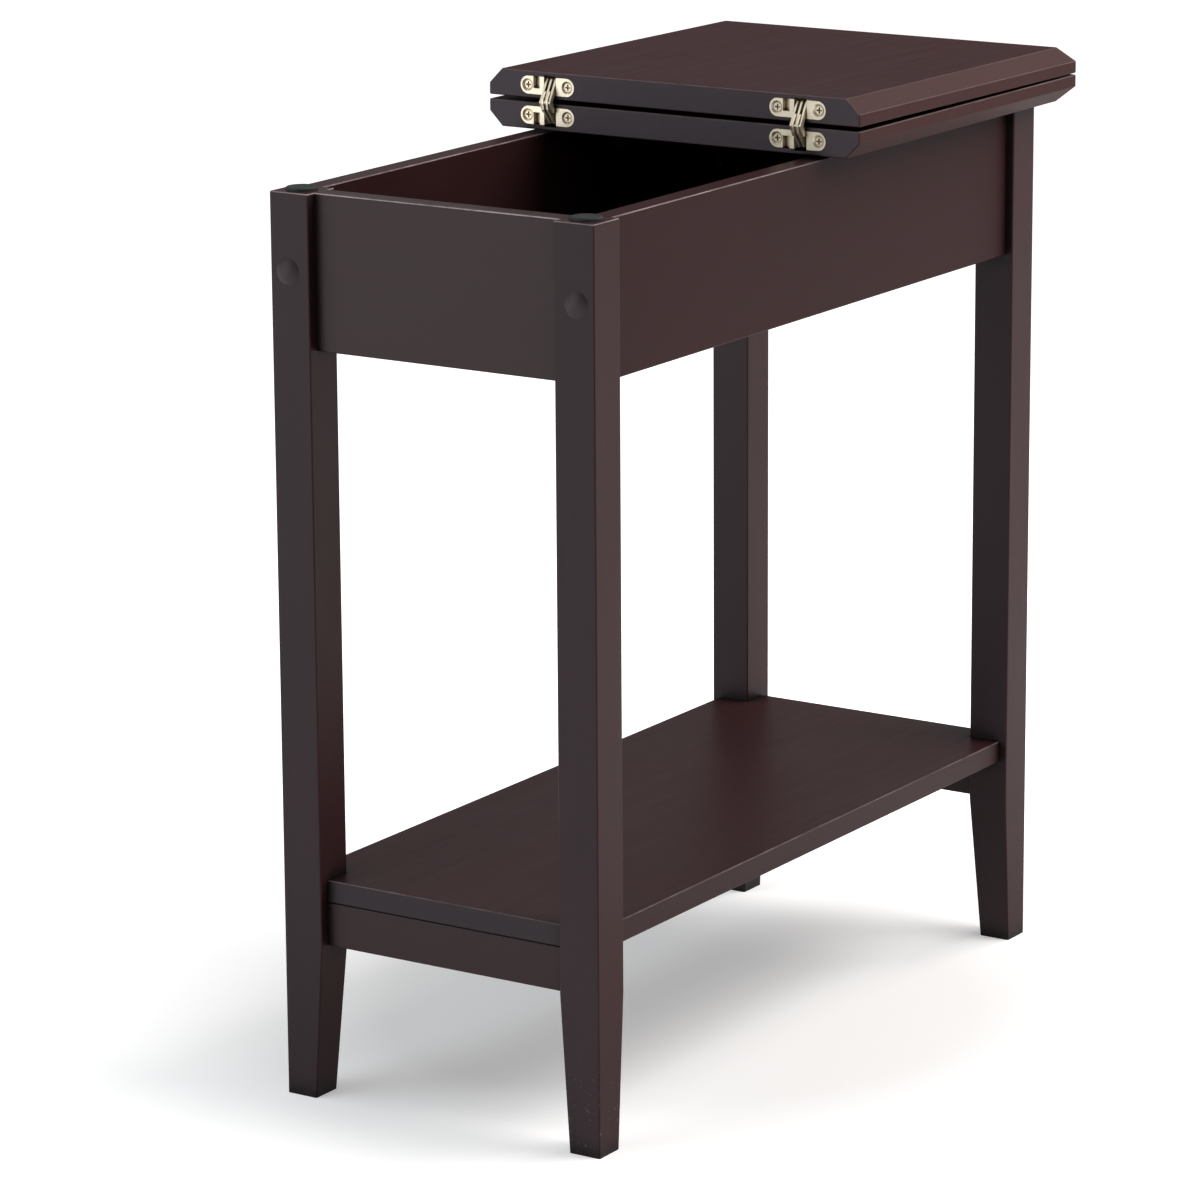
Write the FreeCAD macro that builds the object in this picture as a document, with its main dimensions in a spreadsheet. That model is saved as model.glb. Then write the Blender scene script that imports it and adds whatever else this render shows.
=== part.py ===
"""Narrow end table with a fold-over top.

Four tapered legs and four aprons make an open storage box above a shelf. The top is cut in two equal
halves: the rear half is fixed, and the front half folds back on two concealed hinges and lies face down on
it. The table stands with its top folded open. +Z is up, -Y is the front, and the origin is on the floor
below the middle of the whole object.
"""
import FreeCAD
import Part
import os
import Sketcher

# Driving dimensions in millimetres
DIMENSIONS = {
    # Leg frame
    "frame_width": 240,
    "frame_depth": 552,
    "leg_height": 590,
    "leg_side": 29,
    "foot_side": 22.5,
    "front_setback": 7.5,
    "side_setback": 5.5,
    "edge_round": 1,
    "end_round": 0.8,
    # Aprons and storage floor
    "apron_height": 100,
    "apron_thickness": 15,
    "floor_thickness": 5,
    "floor_rise": 8,
    "groove_depth": 5,
    # Shelf and the rails below it
    "shelf_top_height": 146,
    "shelf_thickness": 15,
    "rail_height": 29,
    "rail_thickness": 15,
    # Folding top
    "lid_width": 284,
    "lid_half_length": 293,
    "lid_thickness": 18,
    "lid_bevel": 10,
    "lid_seam": 2,
    "fold_gap": 2.8,
    "fold_far_gap": 1,
    "pad_radius": 10,
    "pad_thickness": 2,
    "pad_relief": 0.1,
    "pad_round": 0.6,
    # Cleats under the fixed half
    "cleat_width": 18,
    "cleat_height": 20,
    "cleat_length": 150,
    "cleat_start": 72,
    "cleat_screw_margin": 30,
    "cleat_screw_step": 32,
    # Dowels in the leg frame
    "dowel_radius": 4,
    "dowel_length": 28,
    "dowel_end_gap": 0.5,
    "apron_dowel_pitch": 50,
    "rail_dowel_pitch": 14,
    # Leg bolts, their cross nuts and caps
    "bolt_radius": 3,
    "bolt_length": 55,
    "bolt_head_radius": 6,
    "bolt_head_height": 4,
    "bolt_socket_radius": 2.3,
    "bolt_socket_depth": 2.5,
    "counterbore_radius": 6.5,
    "counterbore_depth": 9,
    "bolt_end_gap": 4,
    "nut_radius": 5,
    "nut_length": 12,
    "nut_inset": 25,
    "cap_radius": 8.75,
    "cap_height": 3,
    "cap_stem_length": 4,
    # Wood screws
    "screw_radius": 2,
    "screw_head_radius": 4,
    "screw_head_height": 2.4,
    "screw_bite": 11,
    "screw_cross_length": 4,
    "screw_cross_width": 1,
    "screw_cross_depth": 1.4,
    "screw_well_depth": 8,
    "shelf_screw_pitch": 120,
    # Concealed hinges
    "hinge_inset": 46,
    "hinge_length": 42,
    "hinge_height": 12,
    "hinge_drop": 2.6,
    "flange_depth": 3,
    "cup_length": 23,
    "cup_depth": 19.5,
    "cup_back": 1.5,
    "recess_length": 5,
    "recess_height": 8,
    "recess_depth": 4,
    "recess_offset": 8.4,
    "hinge_screw_pitch": 31,
    "hinge_screw_radius": 1.5,
    "hinge_screw_length": 15,
    "hinge_screw_head_radius": 3,
    "hinge_screw_head_height": 1.5,
    "countersink_radius": 4.2,
    "countersink_depth": 1.2,
    # Scissor links of the hinges
    "link_thickness": 1.5,
    "link_gap": 0.2,
    "link_offset": 2.15,
    "link_side_gap": 0.5,
    "link_relief": 1.1,
    "link_round": 1,
    "pin_radius": 0.8,
    "pin_seat": 3,
    "pivot_depth": 2.5,
    "pivot_drop": 4.4,
    "pivot_lobe": 1.4,
    "elbow_reach": 1.6,
    "elbow_drop": 4.6,
    "elbow_lobe": 1.2,
    "knee_reach": 2.8,
    "knee_lobe": 1.8,
    "tip_depth": 3.4,
    "tip_drop": 12.4,
    "tip_lobe": 1.2,
    "knee_slot_travel": 3.75,
    "knee_slot_drift": 0.6,
    "knee_slot_clearance": 0.3,
    "knee_slot_wall": 0.4,
    # Clearances and the overrun of cuts
    "wood_clearance": 0.3,
    "hole_clearance": 0.15,
    "pin_clearance": 0.05,
    "cut_overrun": 2,
}

# Places worked out from the driving dimensions
CENTRE_Y = "((dims.frame_depth / 2 + dims.cap_height - dims.lid_seam / 2 - dims.lid_half_length) / 2)"
FRONT_Y = f"({CENTRE_Y} - dims.frame_depth / 2)"
BACK_Y = f"({CENTRE_Y} + dims.frame_depth / 2)"
SIDE_X = "(dims.frame_width / 2)"
INNER_X = "(dims.frame_width / 2 - dims.leg_side)"
SIDE_BOARD_X = "(dims.frame_width / 2 - dims.side_setback)"
SIDE_INNER_X = f"({SIDE_BOARD_X} - dims.apron_thickness)"
END_INNER_REACH = "(dims.frame_depth / 2 - dims.front_setback - dims.apron_thickness)"
LEG_INNER_REACH = "(dims.frame_depth / 2 - dims.leg_side)"
APRON_LOW_Z = "(dims.leg_height - dims.apron_height)"
APRON_MID_Z = "(dims.leg_height - dims.apron_height / 2)"
SHELF_LOW_Z = "(dims.shelf_top_height - dims.shelf_thickness)"
RAIL_LOW_Z = f"({SHELF_LOW_Z} - dims.rail_height)"
RAIL_MID_Z = f"({SHELF_LOW_Z} - dims.rail_height / 2)"
LID_LOW_Z = "(dims.leg_height + dims.pad_thickness)"
AXIS_Z = f"({LID_LOW_Z} + dims.lid_thickness + dims.fold_gap / 2)"
FOLD_TILT = "asin((dims.fold_gap - dims.fold_far_gap) / dims.lid_half_length)"
EDGE_Y = "(dims.lid_seam / 2)"
FACE_RISE = "(dims.fold_gap / 2)"
BOLT_INSET = "(dims.side_setback + dims.apron_thickness / 2)"
CLEAT_HIGH_Z = LID_LOW_Z
CLEAT_LOW_Z = f"({LID_LOW_Z} - dims.cleat_height)"

# Holes, each a little larger than what goes in it
DOWEL_HOLE = "(dims.dowel_radius + dims.hole_clearance)"
DOWEL_HOLE_DEPTH = "(dims.dowel_length / 2 + dims.dowel_end_gap)"
BOLT_HOLE = "(dims.bolt_radius + dims.hole_clearance)"
SCREW_HOLE = "(dims.screw_radius + dims.hole_clearance)"
SCREW_HOLE_DEPTH = "(dims.screw_bite + dims.wood_clearance)"
SCREW_WELL = "(dims.screw_head_radius + dims.hole_clearance)"
HINGE_SCREW_HOLE = "(dims.hinge_screw_radius + dims.hole_clearance)"
HINGE_SCREW_WELL = "(dims.hinge_screw_head_radius + dims.hole_clearance)"
PIN_HOLE = "(dims.pin_radius + dims.pin_clearance)"

# Places in the hinge, measured from the fold axis
HINGE_X = "(dims.lid_width / 2 - dims.hinge_inset)"
CUP_NEAR = f"({FACE_RISE} + dims.hinge_drop)"
CUP_FAR = f"({CUP_NEAR} + dims.hinge_height)"
CUP_MID = f"({CUP_NEAR} + dims.hinge_height / 2)"
LINK_LAYERS = {"fixed": (0, 2, 4), "flip": (1, 3)}
PLATES = sum(len(layers) for layers in LINK_LAYERS.values())
STACK_LENGTH = f"({PLATES} * dims.link_thickness + {PLATES - 1} * dims.link_gap)"
SLOT_LENGTH = f"({STACK_LENGTH} + 2 * dims.link_side_gap)"
PIN_LENGTH = f"({SLOT_LENGTH} + 2 * dims.pin_seat)"
PIVOT_Y = f"({EDGE_Y} + dims.pivot_depth)"
PIVOT_RISE = f"({FACE_RISE} + dims.pivot_drop)"
KNEE_Y = f"({EDGE_Y} - dims.knee_reach - dims.lid_seam)"
ELBOW_Y = f"({EDGE_Y} - dims.elbow_reach)"
ELBOW_RISE = f"({FACE_RISE} + dims.elbow_drop)"
TIP_Y = f"({EDGE_Y} + dims.tip_depth)"
TIP_RISE = f"({FACE_RISE} + dims.tip_drop)"
KNEE_SLOT_HALF = "(dims.pin_radius + dims.knee_slot_clearance)"

# The direction of each origin plane's normal along its own axis
NORMAL = {"XY_Plane": 1, "XZ_Plane": -1, "YZ_Plane": 1}
FULL_TURN = 360
ARC_SHARES = (0, 0.5, 1)
LENGTHWISE_SHARE = 0.95
SAME_PLACE = 1e-4
FIXED, FLIP = -1, 1

doc = FreeCAD.newDocument("fold_over_end_table")
sheet = doc.addObject("Spreadsheet::Sheet", "dims")
for row, (alias, size) in enumerate(DIMENSIONS.items(), start=1):
    sheet.set(f"A{row}", alias)
    sheet.set(f"B{row}", str(size))
    sheet.setAlias(f"B{row}", alias)
doc.recompute()

nodes = []


def value(expression):
    """The number that an expression of the sheet's sizes gives now."""
    result = sheet.evalExpression(str(expression))
    return float(getattr(result, "Value", result))


def node(piece):
    """Keeps a finished piece as one node of the assembly."""
    nodes.append(piece)
    return piece


def new_body(label):
    body = doc.addObject("PartDesign::Body", label)
    body.Label = label
    return body


def place(piece, x="0", y="0", z="0"):
    for axis, expression in (("x", x), ("y", y), ("z", z)):
        piece.setExpression(f"Placement.Base.{axis}", expression)
    return piece


def turn(piece, axis, angle):
    piece.Placement = FreeCAD.Placement(FreeCAD.Vector(), FreeCAD.Rotation(FreeCAD.Vector(*axis), 1))
    piece.setExpression("Placement.Rotation.Angle", angle)
    return piece


def place_on_axis(piece, side):
    """Puts a piece drawn about the fold axis in its place; the folded half leans back by the tilt."""
    if side == FLIP:
        turn(piece, (-1, 0, 0), FOLD_TILT)
    return place(piece, "0", CENTRE_Y, AXIS_Z)


def pin_point(sketch, geometry, point, x, y):
    """Fixes one point of a sketch at sizes measured from the sketch's origin."""
    for kind, expression, axis in (("DistanceX", x, -2), ("DistanceY", y, -1)):
        if str(expression) == "0":
            sketch.addConstraint(Sketcher.Constraint("PointOnObject", geometry, point, axis))
            continue
        constraint = Sketcher.Constraint(kind, -1, 1, geometry, point, value(expression))
        index = sketch.addConstraint(constraint)
        sketch.setExpression(f"Constraints[{index}]", str(expression))


def polygon(*corners):
    def draw(sketch):
        points = [FreeCAD.Vector(value(x), value(y), 0) for x, y in corners]
        first = sketch.GeometryCount
        count = len(points)
        for i in range(count):
            sketch.addGeometry(Part.LineSegment(points[i], points[(i + 1) % count]), False)
        for i in range(count):
            after = first + (i + 1) % count
            sketch.addConstraint(Sketcher.Constraint("Coincident", first + i, 2, after, 1))
        for i, (x, y) in enumerate(corners):
            pin_point(sketch, first + i, 1, x, y)

    return draw


def rectangle(x_low, y_low, x_high, y_high):
    return polygon((x_low, y_low), (x_high, y_low), (x_high, y_high), (x_low, y_high))


def circle(x, y, radius):
    def draw(sketch):
        centre = FreeCAD.Vector(value(x), value(y), 0)
        index = sketch.addGeometry(Part.Circle(centre, FreeCAD.Vector(0, 0, 1), value(radius)), False)
        pin_point(sketch, index, 3, x, y)
        limit = sketch.addConstraint(Sketcher.Constraint("Radius", index, value(radius)))
        sketch.setExpression(f"Constraints[{limit}]", str(radius))

    return draw


def rounded_rectangle(x_low, y_low, x_high, y_high, radius):
    """A rectangle whose corners are arcs, drawn as four arcs joined by tangent lines."""
    centres = [(f"({x_high}) - ({radius})", f"({y_low}) + ({radius})"),
               (f"({x_high}) - ({radius})", f"({y_high}) - ({radius})"),
               (f"({x_low}) + ({radius})", f"({y_high}) - ({radius})"),
               (f"({x_low}) + ({radius})", f"({y_low}) + ({radius})")]
    return joined_arcs(centres, radius)


def obround(x, y, length, height):
    """A strip with round ends, drawn as two half circles joined by tangent lines."""
    half = f"(({length}) - ({height})) / 2"
    return joined_arcs([(f"({x}) + {half}", y), (f"({x}) - {half}", y)], f"({height}) / 2")


def joined_arcs(centres, radius):
    """A closed outline of equal arcs that turn evenly, each joined to the next by a tangent line."""

    def draw(sketch):
        count = len(centres)
        size = value(radius)
        arcs = []
        for i, (x, y) in enumerate(centres):
            middle = FreeCAD.Vector(value(x), value(y), 0)
            angles = [FULL_TURN * (i + share) / count - FULL_TURN / 4 for share in ARC_SHARES]
            ways = [FreeCAD.Rotation(FreeCAD.Vector(0, 0, 1), angle) for angle in angles]
            arcs.append([middle + way.multVec(FreeCAD.Vector(size, 0, 0)) for way in ways])
        first = sketch.GeometryCount
        for i in range(count):
            sketch.addGeometry(Part.Arc(*arcs[i]), False)
            sketch.addGeometry(Part.LineSegment(arcs[i][2], arcs[(i + 1) % count][0]), False)
        for i in range(2 * count):
            after = first + (i + 1) % (2 * count)
            sketch.addConstraint(Sketcher.Constraint("Tangent", first + i, 2, after, 1))
        for i, (x, y) in enumerate(centres):
            pin_point(sketch, first + 2 * i, 3, x, y)
            if i:
                sketch.addConstraint(Sketcher.Constraint("Equal", first, first + 2 * i))
        limit = sketch.addConstraint(Sketcher.Constraint("Radius", first, size))
        sketch.setExpression(f"Constraints[{limit}]", str(radius))

    return draw


def sketch_on(body, role, at, shapes):
    plane = next(feature for feature in body.Origin.OriginFeatures if feature.Role == role)
    sketch = body.newObject("Sketcher::SketchObject", f"{body.Label}_outline")
    sketch.AttachmentSupport = [(plane, "")]
    sketch.MapMode = "FlatFace"
    sketch.setExpression("AttachmentOffset.Base.z", f"{NORMAL[role]} * ({at})")
    for draw in shapes:
        draw(sketch)
    return sketch


def add(body, role, at, shapes, depth, toward=1):
    """Pads shapes drawn on a plane at a place along its axis, towards the axis's plus or minus end."""
    pad = body.newObject("PartDesign::Pad", f"{body.Label}_pad")
    pad.Profile = sketch_on(body, role, at, shapes)
    pad.Reversed = toward != NORMAL[role]
    pad.setExpression("Length", depth)
    doc.recompute()
    return pad


def cut(body, role, at, shapes, depth, toward=1):
    """Pockets shapes drawn on a plane at a place along its axis, and makes sure that something came away."""
    before = body.Shape.Volume
    sketch = sketch_on(body, role, at, shapes)
    pocket = body.newObject("PartDesign::Pocket", f"{body.Label}_pocket")
    pocket.Profile = sketch
    pocket.Reversed = toward == NORMAL[role]
    pocket.setExpression("Length", depth)
    doc.recompute()
    if not body.Shape.Volume < before:
        raise RuntimeError(f"{pocket.Name} cuts nothing")
    return pocket


def along(axis):
    """Picks the straight edges that run along an axis."""
    direction = FreeCAD.Vector(*(float(letter == axis) for letter in "xyz"))

    def pick(edge):
        start, end = edge.Vertexes[0].Point, edge.Vertexes[-1].Point
        length = (end - start).Length
        return length > 0 and abs((end - start).dot(direction)) > length * LENGTHWISE_SHARE

    return pick


def level(axis, expression):
    """Picks the edges that lie wholly at one place along an axis of the body's own frame."""
    at = value(expression)

    def pick(edge):
        return all(abs(getattr(vertex.Point, axis) - at) < SAME_PLACE for vertex in edge.Vertexes)

    return pick


def dress(body, kind, size_name, size, pick):
    """Rounds or bevels the edges that a picker chooses."""
    doc.recompute()
    base = body.Tip
    names = [f"Edge{i}" for i, edge in enumerate(base.Shape.Edges, start=1) if pick(edge)]
    if not names:
        raise RuntimeError(f"{body.Label} has no edge to dress")
    feature = body.newObject(f"PartDesign::{kind}", f"{body.Label}_{kind.lower()}")
    feature.Base = (base, names)
    feature.setExpression(size_name, size)
    doc.recompute()
    return feature


def round_edges(body, pick, radius="dims.edge_round"):
    return dress(body, "Fillet", "Radius", radius, pick)


def group(label, members):
    """Several separate solids of one kind in one node."""
    compound = doc.addObject("Part::Compound", label)
    compound.Label = label
    compound.Links = members
    return node(compound)


def turned(label, profile):
    """A piece turned about its own Z axis, from a profile of radius and height."""
    body = new_body(label)
    revolution = body.newObject("PartDesign::Revolution", f"{label}_turn")
    sketch = sketch_on(body, "XZ_Plane", "0", [polygon(*profile)])
    revolution.Profile = sketch
    revolution.ReferenceAxis = (sketch, ["V_Axis"])
    doc.recompute()
    return body


def cylinder(label, radius, length):
    rod = doc.addObject("Part::Cylinder", label)
    rod.Label = label
    rod.setExpression("Radius", radius)
    rod.setExpression("Height", length)
    return rod


def cross_slot(body):
    """A cross recess in the top of a screw head, which lies at the screw's own origin."""
    length, width = "dims.screw_cross_length", "dims.screw_cross_width"
    for long_x, long_y in ((length, width), (width, length)):
        bar = rectangle(f"-{long_x} / 2", f"-{long_y} / 2", f"{long_x} / 2", f"{long_y} / 2")
        cut(body, "XY_Plane", "0", [bar], "dims.screw_cross_depth", toward=-1)


def wood_screw(label, radius, head_radius, head_height, length):
    """A countersunk screw: the head's flat top at its origin, the shank towards -Z."""
    neck = f"-({head_height})"
    shank_end = f"({radius}) - ({length})"
    screw = turned(label, [
        ("0", "0"), (head_radius, "0"), (radius, neck), (radius, shank_end), ("0", f"-({length})"),
    ])
    cross_slot(screw)
    return screw


def leg_section(in_x, in_y, side):
    """A square with eased corners that starts at the leg's outer edge and grows towards the middle."""
    x_low, x_high = ("0", side) if in_x > 0 else (f"-{side}", "0")
    y_low, y_high = ("0", side) if in_y > 0 else (f"-{side}", "0")
    return rounded_rectangle(x_low, y_low, x_high, y_high, "dims.edge_round")


def make_leg(label, in_x, in_y):
    """A square leg whose two inner faces taper to the foot; in_x and in_y point to the table's middle."""
    leg = new_body(label)
    side = "dims.leg_side"
    taper = leg.newObject("PartDesign::AdditiveLoft", f"{label}_taper")
    taper.Profile = sketch_on(leg, "XY_Plane", "0", [leg_section(in_x, in_y, "dims.foot_side")])
    taper.Sections = [sketch_on(leg, "XY_Plane", RAIL_LOW_Z, [leg_section(in_x, in_y, side)])]
    taper.Ruled = True
    add(leg, "XY_Plane", RAIL_LOW_Z, [leg_section(in_x, in_y, side)], f"dims.leg_height - {RAIL_LOW_Z}")
    round_edges(leg, level("z", "dims.leg_height"), "dims.end_round")
    bolt = (f"{in_x} * {BOLT_INSET}", APRON_MID_Z)
    cut(leg, "XZ_Plane", "0", [circle(*bolt, "dims.counterbore_radius")], "dims.counterbore_depth", in_y)
    cut(leg, "XZ_Plane", "0", [circle(*bolt, BOLT_HOLE)], side, in_y)
    for mid, pitch, thickness in ((APRON_MID_Z, "dims.apron_dowel_pitch", "dims.apron_thickness"),
                                  (RAIL_MID_Z, "dims.rail_dowel_pitch", "dims.rail_thickness")):
        y = f"{in_y} * (dims.front_setback + {thickness} / 2)"
        holes = [circle(y, f"{mid} + {end} * {pitch} / 2", DOWEL_HOLE) for end in (-1, 1)]
        cut(leg, "YZ_Plane", f"{in_x} * {side}", holes, DOWEL_HOLE_DEPTH, -in_x)
    x_place = f"{-in_x} * {SIDE_X}"
    return node(place(leg, x_place, FRONT_Y if in_y > 0 else BACK_Y))


def make_end_board(label, in_y, low_z, height, thickness, dowel_pitch):
    """A board between two legs at the front or the back, drawn from its outer face at its lower edge."""
    board = new_body(label)
    add(board, "XY_Plane", "0", [rectangle(f"-{INNER_X}", "0", INNER_X, f"{in_y} * {thickness}")], height)
    round_edges(board, along("x"))
    for end in (-1, 1):
        holes = [circle(f"{in_y} * {thickness} / 2", f"{height} / 2 + {step} * {dowel_pitch} / 2", DOWEL_HOLE)
                 for step in (-1, 1)]
        cut(board, "YZ_Plane", f"{end} * {INNER_X}", holes, DOWEL_HOLE_DEPTH, -end)
    y_place = f"{FRONT_Y} + dims.front_setback" if in_y > 0 else f"{BACK_Y} - dims.front_setback"
    return place(board, "0", y_place, low_z)


def make_end_apron(label, in_y):
    apron = make_end_board(label, in_y, APRON_LOW_Z, "dims.apron_height", "dims.apron_thickness",
                           "dims.apron_dowel_pitch")
    inner = f"{in_y} * dims.apron_thickness"
    groove = rectangle(f"-{INNER_X}", "dims.floor_rise", INNER_X,
                       "dims.floor_rise + dims.floor_thickness + dims.wood_clearance")
    cut(apron, "XZ_Plane", inner, [groove], "dims.groove_depth", -in_y)
    return node(apron)


def make_rail(label, in_y):
    """The rail below one end of the shelf, with two wells for the screws that hold the shelf."""
    rail = make_end_board(label, in_y, RAIL_LOW_Z, "dims.rail_height", "dims.rail_thickness",
                          "dims.rail_dowel_pitch")
    places = [(f"{end} * dims.shelf_screw_pitch / 2", f"{in_y} * dims.rail_thickness / 2") for end in (-1, 1)]
    cut(rail, "XY_Plane", "0", [circle(*at, SCREW_WELL) for at in places], "dims.screw_well_depth")
    cut(rail, "XY_Plane", "0", [circle(*at, SCREW_HOLE) for at in places], "dims.rail_height")
    return node(rail)


def make_side_apron(label, in_x):
    """A long apron, with the holes for a bolt and its cross nut at each end and for the cleat's screws."""
    apron = new_body(label)
    reach, thickness = LEG_INNER_REACH, "dims.apron_thickness"
    inner = f"{in_x} * {thickness}"
    add(apron, "XY_Plane", "0", [rectangle("0", f"-{reach}", inner, reach)], "dims.apron_height")
    round_edges(apron, along("y"))
    mid_x, mid_z = f"{in_x} * {thickness} / 2", "dims.apron_height / 2"
    groove = rectangle(f"-{reach}", "dims.floor_rise", reach,
                       "dims.floor_rise + dims.floor_thickness + dims.wood_clearance")
    cut(apron, "YZ_Plane", inner, [groove], "dims.groove_depth", -in_x)
    bore_depth = ("dims.bolt_length + dims.counterbore_depth - dims.leg_side - dims.bolt_head_height"
                  " + dims.bolt_end_gap")
    nut_depth = f"({thickness} + dims.nut_length) / 2"
    for end in (-1, 1):
        cut(apron, "XZ_Plane", f"{end} * {reach}", [circle(mid_x, mid_z, BOLT_HOLE)], bore_depth, -end)
        nut = circle(f"{end} * ({reach} - dims.nut_inset)", mid_z, "dims.nut_radius + dims.hole_clearance")
        cut(apron, "YZ_Plane", inner, [nut], nut_depth, -in_x)
    rise = f"{CLEAT_LOW_Z} + dims.cleat_height / 2 - {APRON_LOW_Z}"
    pilots = [circle(y, rise, SCREW_HOLE) for y in cleat_screw_places(1)]
    cut(apron, "YZ_Plane", inner, pilots, SCREW_HOLE_DEPTH, -in_x)
    return node(place(apron, f"{-in_x} * {SIDE_BOARD_X}", CENTRE_Y, APRON_LOW_Z))


def cleat_screw_places(row):
    """Where the screws of a cleat lie, measured back from the seam: row 0 goes up, row 1 goes sideways."""
    margin = f"(dims.cleat_screw_margin + {row} * dims.cleat_screw_step)"
    return [f"(dims.cleat_start + {margin})", f"(dims.cleat_start + dims.cleat_length - {margin})"]


def make_storage_floor():
    """The bottom of the storage box, held in the aprons' grooves and notched round the legs."""
    floor = new_body("storage_floor")
    in_groove = "dims.groove_depth - dims.wood_clearance"
    wide, narrow = f"({SIDE_INNER_X} + {in_groove})", f"({INNER_X} - dims.wood_clearance)"
    far, near = f"({END_INNER_REACH} + {in_groove})", f"({LEG_INNER_REACH} - dims.wood_clearance)"
    add(floor, "XY_Plane", "0", [notched_board(wide, narrow, far, near)], "dims.floor_thickness")
    return node(place(floor, "0", CENTRE_Y, f"{APRON_LOW_Z} + dims.floor_rise"))


def notched_board(wide, narrow, far, near):
    """The outline of a board with a notch at each corner: wide as far as near, and narrow as far as far."""
    return polygon(
        (f"-{narrow}", f"-{far}"), (narrow, f"-{far}"), (narrow, f"-{near}"), (wide, f"-{near}"),
        (wide, near), (narrow, near), (narrow, far), (f"-{narrow}", far),
        (f"-{narrow}", near), (f"-{wide}", near), (f"-{wide}", f"-{near}"), (f"-{narrow}", f"-{near}"),
    )


def make_shelf():
    shelf = new_body("shelf_board")
    wide, narrow = SIDE_BOARD_X, f"({INNER_X} - dims.wood_clearance)"
    far, near = "(dims.frame_depth / 2 - dims.front_setback)", f"({LEG_INNER_REACH} - dims.wood_clearance)"
    add(shelf, "XY_Plane", "0", [notched_board(wide, narrow, far, near)], "dims.shelf_thickness")
    round_edges(shelf, level("z", "0"))
    round_edges(shelf, level("z", "dims.shelf_thickness"))
    rail_mid = "(dims.frame_depth / 2 - dims.front_setback - dims.rail_thickness / 2)"
    pilots = [circle(f"{end_x} * dims.shelf_screw_pitch / 2", f"{end_y} * {rail_mid}", SCREW_HOLE)
              for end_x in (-1, 1) for end_y in (-1, 1)]
    cut(shelf, "XY_Plane", "0", pilots, SCREW_HOLE_DEPTH)
    return node(place(shelf, "0", CENTRE_Y, SHELF_LOW_Z))


def make_cleat(label, in_x):
    """A batten on the inside of a side apron, which the fixed half of the top is screwed to from below."""
    cleat = new_body(label)
    end = "(dims.cleat_start + dims.cleat_length)"
    add(cleat, "XY_Plane", "0", [rectangle("0", "dims.cleat_start", f"{in_x} * dims.cleat_width", end)],
        "dims.cleat_height")
    round_edges(cleat, level("x", f"{in_x} * dims.cleat_width"))
    mid_x, mid_z = f"{in_x} * dims.cleat_width / 2", "dims.cleat_height / 2"
    upward, sideways = cleat_screw_places(0), cleat_screw_places(1)
    inner = f"{in_x} * dims.cleat_width"
    sunk = "dims.screw_head_height + dims.wood_clearance"
    cut(cleat, "XY_Plane", "0", [circle(mid_x, y, SCREW_HOLE) for y in upward], "dims.cleat_height")
    cut(cleat, "XY_Plane", "0", [circle(mid_x, y, SCREW_WELL) for y in upward], sunk)
    cut(cleat, "YZ_Plane", inner, [circle(y, mid_z, SCREW_HOLE) for y in sideways], "dims.cleat_width", -in_x)
    cut(cleat, "YZ_Plane", inner, [circle(y, mid_z, SCREW_WELL) for y in sideways], sunk, -in_x)
    return node(place(cleat, f"{-in_x} * {SIDE_INNER_X}", CENTRE_Y, CLEAT_LOW_Z))


def make_top(label, side):
    """One half of the top, drawn about the fold axis: its show face is next to the axis, its bevels away."""
    top = new_body(label)
    half, near, far = "(dims.lid_width / 2)", EDGE_Y, f"({EDGE_Y} + dims.lid_half_length)"
    face = f"{side} * {FACE_RISE}"
    back = f"{side} * ({FACE_RISE} + dims.lid_thickness)"
    add(top, "XY_Plane", face, [rectangle(f"-{half}", near, half, far)], "dims.lid_thickness", side)
    underside = level("z", back)
    hinge_edge = level("y", near)
    dress(top, "Chamfer", "Size", "dims.lid_bevel", lambda edge: underside(edge) and not hinge_edge(edge))
    round_edges(top, lambda edge: True)
    for end in (-1, 1):
        cut_mortise(top, f"{end} * {HINGE_X}", side)
    if side == FIXED:
        x = f"({SIDE_INNER_X} - dims.cleat_width / 2)"
        pilots = [circle(f"{end} * {x}", y, SCREW_HOLE) for end in (-1, 1) for y in cleat_screw_places(0)]
        cut(top, "XY_Plane", back, pilots, SCREW_HOLE_DEPTH, -side)
    return node(place_on_axis(top, side))


def cut_mortise(top, x, side):
    """The stepped pocket for a hinge cup, the room for its links and the pilot holes for its screws."""
    mid = f"{side} * {CUP_MID}"
    gap = "dims.hole_clearance"
    flange = obround(x, mid, f"dims.hinge_length + 2 * {gap}", f"dims.hinge_height + 2 * {gap}")
    cut(top, "XZ_Plane", EDGE_Y, [flange], "dims.flange_depth")
    block = centred(x, mid, f"dims.cup_length + 2 * {gap}", f"dims.hinge_height + 2 * {gap}")
    cut(top, "XZ_Plane", EDGE_Y, [block], f"dims.cup_depth + {gap}")
    low, high = f"{x} + dims.link_offset - {SLOT_LENGTH} / 2", f"{x} + dims.link_offset + {SLOT_LENGTH} / 2"
    room = rectangle(low, mid, high, f"{side} * ({CUP_FAR} + dims.link_relief)")
    cut(top, "XZ_Plane", EDGE_Y, [room], f"dims.cup_depth + {gap}")
    pilots = [circle(f"{x} + {end} * dims.hinge_screw_pitch / 2", mid, HINGE_SCREW_HOLE) for end in (-1, 1)]
    pilot_depth = "dims.hinge_screw_length + dims.countersink_depth + dims.wood_clearance"
    cut(top, "XZ_Plane", EDGE_Y, pilots, pilot_depth)


def centred(x, y, length, height):
    reach, rise = f"({length}) / 2", f"({height}) / 2"
    return rectangle(f"{x} - {reach}", f"{y} - {rise}", f"{x} + {reach}", f"{y} + {rise}")


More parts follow.
